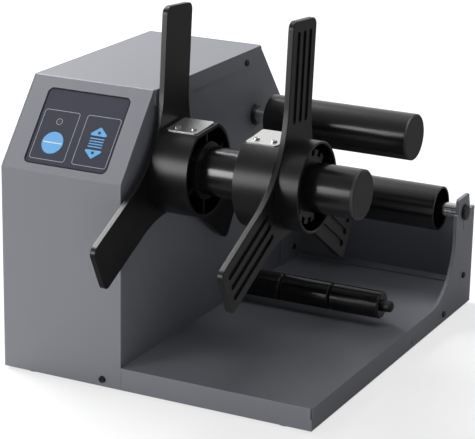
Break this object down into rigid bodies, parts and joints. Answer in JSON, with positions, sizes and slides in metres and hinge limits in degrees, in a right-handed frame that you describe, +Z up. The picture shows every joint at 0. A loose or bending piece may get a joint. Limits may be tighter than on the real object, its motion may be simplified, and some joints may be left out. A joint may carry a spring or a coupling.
{
  "type": "label rewinder",
  "caption": "Bench-top motor-driven label rewinder: sheet-metal cabinet with a control panel, spindle with two three-arm flanges, two guide rollers and a sprung tension bar.",
  "frame": {"origin": "on the spindle axis, at the face of the inner flange that a roll's core butts against", "axes": "+X along the spindle to its free end, +Y from the control panel to the rear, +Z up"},
  "size_m": [0.274, 0.3781, 0.2922],
  "materials": {
    "grey_paint": "fine-textured mid-grey powder coat, satin",
    "black_plastic": "black moulded plastic, satin gloss",
    "black_tube": "black anodised tube, satin gloss",
    "grey_plastic": "mid-grey moulded plastic, satin",
    "overlay_film": "dark blue-grey membrane film with blue marks",
    "clear_lamp": "clear lamp lens",
    "chrome": "bright chromed shaft",
    "bearing_steel": "turned bright steel",
    "spring_steel": "bright spring steel",
    "black_screw": "blackened steel",
    "bare_aluminium": "bare machined aluminium",
    "circuit_board": "green circuit board laminate",
    "brass": "turned brass",
    "black_rubber": "matt black rubber"
  },
  "bodies": {
    "base": {"base_tray": "grey_paint", "rubber_feet": "black_rubber", "mounting_plate": "grey_paint", "cabinet_cover": "grey_paint", "left_side_panel": "grey_paint", "rear_panel": "grey_paint", "panel_carrier": "bare_aluminium", "panel_overlay": "overlay_film", "panel_board": "circuit_board", "status_lamp": "clear_lamp", "power_inlet": "black_plastic", "switch_body": "black_plastic", "board_posts": "brass", "control_board": "circuit_board", "board_components": "bare_aluminium", "bearing_housing": "bare_aluminium", "spindle_bearings": "bearing_steel", "drive_belt": "black_rubber", "gear_motor": "bearing_steel", "motor_bracket": "bare_aluminium", "upper_roller_axle": "chrome", "upper_roller_bush": "black_plastic", "upper_axle_nut": "bearing_steel", "axle_rings": "bearing_steel", "rear_frame": "grey_paint", "right_bracket": "grey_paint", "lower_roller_axle": "chrome", "lower_axle_caps": "black_plastic", "bar_pivot_pin": "bearing_steel", "arm_spring": "spring_steel", "spring_post": "bearing_steel", "stop_switch": "black_plastic", "machine_screws": "black_screw"},
    "spindle": {"spindle_shaft": "bearing_steel", "spindle_tube": "black_tube", "spindle_end_cap": "grey_plastic", "spindle_pulley": "bare_aluminium", "inner_flange": "black_plastic", "inner_spring_plate": "spring_steel", "inner_plate_screws": "bearing_steel"},
    "outer_flange": {"outer_flange": "black_plastic", "outer_spring_plate": "spring_steel", "outer_plate_screws": "bearing_steel"},
    "lock_ring": {"lock_ring": "black_plastic"},
    "motor_rotor": {"motor_shaft": "bearing_steel", "motor_pulley": "bare_aluminium"},
    "upper_roller": {"upper_roller_tube": "black_tube", "upper_roller_cap": "grey_plastic", "upper_roller_bearings": "bearing_steel"},
    "lower_roller": {"lower_roller_tube": "black_tube", "lower_roller_bearings": "bearing_steel"},
    "tension_arm": {"tension_arm": "bearing_steel", "tension_bar": "chrome"},
    "sleeve_inner": {"sleeve_inner": "black_plastic"},
    "sleeve_middle": {"sleeve_middle": "black_plastic"},
    "sleeve_outer": {"sleeve_outer": "black_plastic"},
    "start_stop_key": {"start_stop_key": "overlay_film"},
    "up_arrow_key": {"up_arrow_key": "overlay_film"},
    "down_arrow_key": {"down_arrow_key": "overlay_film"},
    "switch_rocker": {"switch_rocker": "black_plastic"}
  },
  "joints": [
    {"name": "spindle_spin", "type": "hinge", "parent": "base", "child": "spindle", "pos_m": [0, 0, 0], "axis": [1, 0, 0], "continuous": true},
    {"name": "motor_spin", "type": "hinge", "parent": "base", "child": "motor_rotor", "pos_m": [-0.04, 0.07, -0.085], "axis": [1, 0, 0], "continuous": true},
    {"name": "outer_flange_slide", "type": "slide", "parent": "spindle", "child": "outer_flange", "axis": [1, 0, 0], "range_m": [-0.026, 0.033]},
    {"name": "lock_turn", "type": "hinge", "parent": "outer_flange", "child": "lock_ring", "pos_m": [0.11, 0, 0], "axis": [1, 0, 0], "range_deg": [0, 40]},
    {"name": "upper_roller_spin", "type": "hinge", "parent": "base", "child": "upper_roller", "pos_m": [0.07, 0.157, 0.004], "axis": [1, 0, 0], "continuous": true},
    {"name": "lower_roller_spin", "type": "hinge", "parent": "base", "child": "lower_roller", "pos_m": [0.065, 0.2345, -0.0777], "axis": [1, 0, 0], "continuous": true},
    {"name": "tension_swing", "type": "hinge", "parent": "base", "child": "tension_arm", "pos_m": [-0.016, 0.104, -0.05], "axis": [1, 0, 0], "range_deg": [0, 32], "stiffness_Nm_per_rad": 0.05, "springref_deg": -17.19},
    {"name": "sleeve_inner_spin", "type": "hinge", "parent": "tension_arm", "child": "sleeve_inner", "pos_m": [0.018, 0.1199, -0.1301], "axis": [1, 0, 0], "continuous": true},
    {"name": "sleeve_middle_spin", "type": "hinge", "parent": "tension_arm", "child": "sleeve_middle", "pos_m": [0.063, 0.1199, -0.1301], "axis": [1, 0, 0], "continuous": true},
    {"name": "sleeve_outer_spin", "type": "hinge", "parent": "tension_arm", "child": "sleeve_outer", "pos_m": [0.107, 0.1199, -0.1301], "axis": [1, 0, 0], "continuous": true},
    {"name": "start_stop_press", "type": "slide", "parent": "base", "child": "start_stop_key", "axis": [0, 0.7809, -0.6247], "range_m": [0, 0.0005], "stiffness_N_per_m": 1500, "springref_m": -0.0003},
    {"name": "up_arrow_press", "type": "slide", "parent": "base", "child": "up_arrow_key", "axis": [0, 0.7809, -0.6247], "range_m": [0, 0.0005], "stiffness_N_per_m": 1500, "springref_m": -0.0003},
    {"name": "down_arrow_press", "type": "slide", "parent": "base", "child": "down_arrow_key", "axis": [0, 0.7809, -0.6247], "range_m": [0, 0.0005], "stiffness_N_per_m": 1500, "springref_m": -0.0003},
    {"name": "power_switch_rock", "type": "hinge", "parent": "base", "child": "switch_rocker", "pos_m": [-0.04, 0.214, -0.115], "axis": [1, 0, 0], "range_deg": [0, 16]}
  ],
  "couplings": [
    {"joint": "motor_spin", "follows": "spindle_spin", "ratio": 2}
  ]
}
